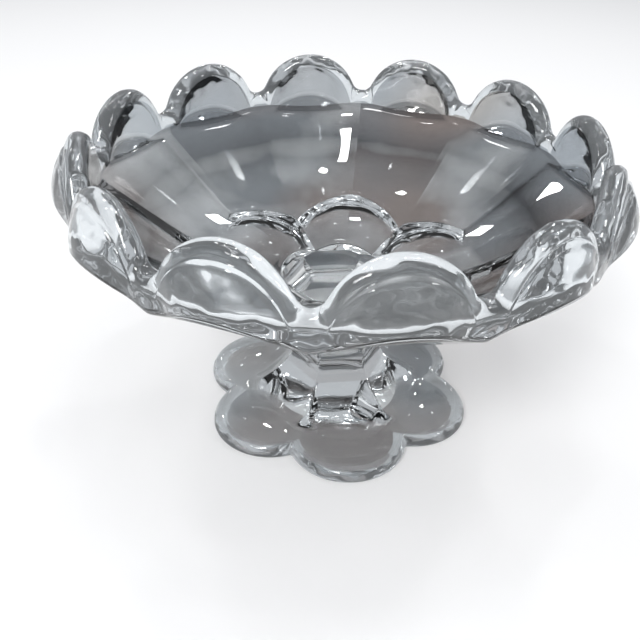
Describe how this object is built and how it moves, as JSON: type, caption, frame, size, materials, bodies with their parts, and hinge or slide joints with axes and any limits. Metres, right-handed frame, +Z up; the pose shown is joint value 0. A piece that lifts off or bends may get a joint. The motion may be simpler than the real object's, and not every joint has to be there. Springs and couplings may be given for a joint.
{
  "type": "floating candle bowl",
  "caption": "Footed clear glass bowl with a scalloped petal rim, fluted wall and thumbprint floor on a six-sided stem and petal foot, for floating candles.",
  "frame": {"origin": "middle of the foot's flat underside", "axes": "+Z up along the bowl's axis, a rim valley on +Y and another on -Y"},
  "size_m": [0.233, 0.233, 0.1376],
  "materials": {
    "bowl_glass": "clear fire-polished pressed glass",
    "stem_glass": "clear fire-polished pressed glass",
    "foot_glass": "clear fire-polished pressed glass"
  },
  "bodies": {
    "root": {"bowl": "bowl_glass", "stem": "stem_glass", "foot": "foot_glass"}
  },
  "joints": []
}
